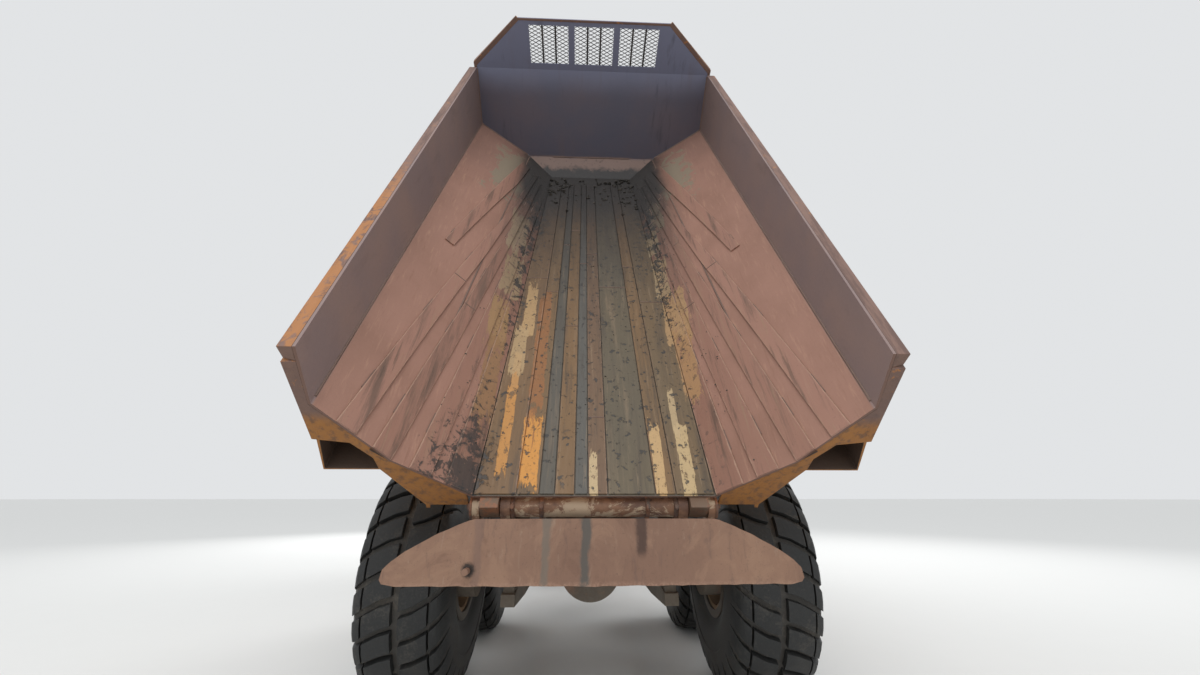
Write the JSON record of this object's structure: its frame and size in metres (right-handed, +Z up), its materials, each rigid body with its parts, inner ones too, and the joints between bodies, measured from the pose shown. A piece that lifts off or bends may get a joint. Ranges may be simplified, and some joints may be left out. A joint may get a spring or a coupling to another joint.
{
  "type": "articulated dump truck",
  "caption": "Three-axle articulated dump truck with its tipping body raised, hinged in the middle for steering, with a cab, a tilting hood and freely turning wheels.",
  "frame": {"origin": "on the ground under the middle of the whole truck, body raised", "axes": "+Z up, +Y forward towards the cab, +X to the truck's right"},
  "size_m": [2.9, 10.192, 5.8396],
  "materials": {
    "paint": "satin",
    "dark_steel": "matte",
    "bed_steel": "worn",
    "worn_plate": "worn",
    "tyre": "matte",
    "rod_chrome": "polished",
    "cast": "matte",
    "glass": "clear",
    "black_plastic": "matte",
    "seat_fabric": "woven",
    "lamp": "gloss",
    "front_wall": "matte"
  },
  "bodies": {
    "rear_frame": {"rear_frame": "dark_steel", "deflector_plate": "worn_plate", "bogie_beams": "cast", "tandem_axles": "cast", "rear_driveshaft": "cast"},
    "bed": {"bed_floor": "bed_steel", "bed_wall_left": "bed_steel", "bed_wall_right": "bed_steel", "bed_headboard": "front_wall", "headboard_mesh": "front_wall", "bed_sills": "paint", "bed_ribs": "paint", "wear_strips": "bed_steel"},
    "tip_barrels": {"tip_barrels": "dark_steel"},
    "tip_stages": {"tip_stages": "rod_chrome"},
    "tip_rods": {"tip_rods": "rod_chrome"},
    "hitch": {"hitch": "cast"},
    "tractor": {"tractor_frame": "dark_steel", "front_axle": "cast", "engine": "cast", "cab_shell": "paint", "cab_glass": "glass", "dashboard": "black_plastic", "seat": "seat_fabric", "mudguards": "paint", "steps": "dark_steel", "tank": "paint", "bumper": "dark_steel", "exhaust": "dark_steel", "mirrors": "black_plastic", "lamps": "lamp"},
    "steer_barrel_left": {"steer_barrel_left": "dark_steel"},
    "steer_barrel_right": {"steer_barrel_right": "dark_steel"},
    "steer_rod_left": {"steer_rod_left": "rod_chrome"},
    "steer_rod_right": {"steer_rod_right": "rod_chrome"},
    "cab_door": {"cab_door": "paint", "door_glass": "glass"},
    "hood": {"hood": "paint"},
    "wheel_front_left": {"tyre_front_left": "tyre", "rim_front_left": "paint"},
    "wheel_front_right": {"tyre_front_right": "tyre", "rim_front_right": "paint"},
    "wheel_middle_left": {"tyre_middle_left": "tyre", "rim_middle_left": "paint"},
    "wheel_middle_right": {"tyre_middle_right": "tyre", "rim_middle_right": "paint"},
    "wheel_rear_left": {"tyre_rear_left": "tyre", "rim_rear_left": "paint"},
    "wheel_rear_right": {"tyre_rear_right": "tyre", "rim_rear_right": "paint"}
  },
  "joints": [
    {"name": "oscillation", "type": "hinge", "parent": "rear_frame", "child": "hitch", "pos_m": [0, 1.286, 0.88], "axis": [0, 1, 0], "range_deg": [-15, 15]},
    {"name": "steering", "type": "hinge", "parent": "hitch", "child": "tractor", "pos_m": [0, 1.286, 0.88], "axis": [0, 0, 1], "range_deg": [-45, 45]},
    {"name": "tip", "type": "hinge", "parent": "rear_frame", "child": "bed", "pos_m": [0, -4.154, 1.23], "axis": [1, 0, 0], "range_deg": [-62, 0]},
    {"name": "tip_barrel_swing", "type": "hinge", "parent": "rear_frame", "child": "tip_barrels", "pos_m": [0, -0.154, 0.74], "axis": [1, 0, 0], "range_deg": [-0.5, 23.97]},
    {"name": "tip_stage_slide", "type": "slide", "parent": "tip_barrels", "child": "tip_stages", "axis": [0, -0.774, 0.6332], "range_m": [-0.99778, 0.002]},
    {"name": "tip_rod_slide", "type": "slide", "parent": "tip_stages", "child": "tip_rods", "axis": [0, -0.774, 0.6332], "range_m": [-0.99778, 0.002]},
    {"name": "cab_door_swing", "type": "hinge", "parent": "tractor", "child": "cab_door", "pos_m": [-0.772, 1.996, 2.5], "axis": [0, 0, 1], "range_deg": [0, 80]},
    {"name": "hood_tilt", "type": "hinge", "parent": "tractor", "child": "hood", "pos_m": [0, 4.886, 1], "axis": [-1, 0, 0], "range_deg": [0, 55]},
    {"name": "steer_barrel_left_swing", "type": "hinge", "parent": "tractor", "child": "steer_barrel_left", "pos_m": [-0.48, 2.296, 0.88], "axis": [0, 0, 1], "range_deg": [-2.36, 2.36]},
    {"name": "steer_rod_left_slide", "type": "slide", "parent": "steer_barrel_left", "child": "steer_rod_left", "axis": [0.1475, -0.9891, 0], "range_m": [-0.2383, 0.2383]},
    {"name": "steer_barrel_right_swing", "type": "hinge", "parent": "tractor", "child": "steer_barrel_right", "pos_m": [0.48, 2.296, 0.88], "axis": [0, 0, 1], "range_deg": [-2.36, 2.36]},
    {"name": "steer_rod_right_slide", "type": "slide", "parent": "steer_barrel_right", "child": "steer_rod_right", "axis": [-0.1475, -0.9891, 0], "range_m": [-0.2383, 0.2383]},
    {"name": "front_left_wheel_spin", "type": "hinge", "parent": "tractor", "child": "wheel_front_left", "pos_m": [-1.16, 2.516, 0.79], "axis": [1, 0, 0], "continuous": true},
    {"name": "front_right_wheel_spin", "type": "hinge", "parent": "tractor", "child": "wheel_front_right", "pos_m": [1.16, 2.516, 0.79], "axis": [1, 0, 0], "continuous": true},
    {"name": "middle_left_wheel_spin", "type": "hinge", "parent": "rear_frame", "child": "wheel_middle_left", "pos_m": [-1.16, -1.434, 0.79], "axis": [1, 0, 0], "continuous": true},
    {"name": "middle_right_wheel_spin", "type": "hinge", "parent": "rear_frame", "child": "wheel_middle_right", "pos_m": [1.16, -1.434, 0.79], "axis": [1, 0, 0], "continuous": true},
    {"name": "rear_left_wheel_spin", "type": "hinge", "parent": "rear_frame", "child": "wheel_rear_left", "pos_m": [-1.16, -3.104, 0.79], "axis": [1, 0, 0], "continuous": true},
    {"name": "rear_right_wheel_spin", "type": "hinge", "parent": "rear_frame", "child": "wheel_rear_right", "pos_m": [1.16, -3.104, 0.79], "axis": [1, 0, 0], "continuous": true}
  ],
  "couplings": [
    {"joint": "tip_barrel_swing", "follows": "tip", "ratio": -0.3785},
    {"joint": "tip_stage_slide", "follows": "tip", "m_per_rad": 0.91745},
    {"joint": "tip_rod_slide", "follows": "tip", "m_per_rad": 0.91745},
    {"joint": "steer_barrel_left_swing", "follows": "steering", "ratio": -0.045756},
    {"joint": "steer_rod_left_slide", "follows": "steering", "m_per_rad": -0.29837},
    {"joint": "steer_barrel_right_swing", "follows": "steering", "ratio": -0.045756},
    {"joint": "steer_rod_right_slide", "follows": "steering", "m_per_rad": 0.29837}
  ]
}
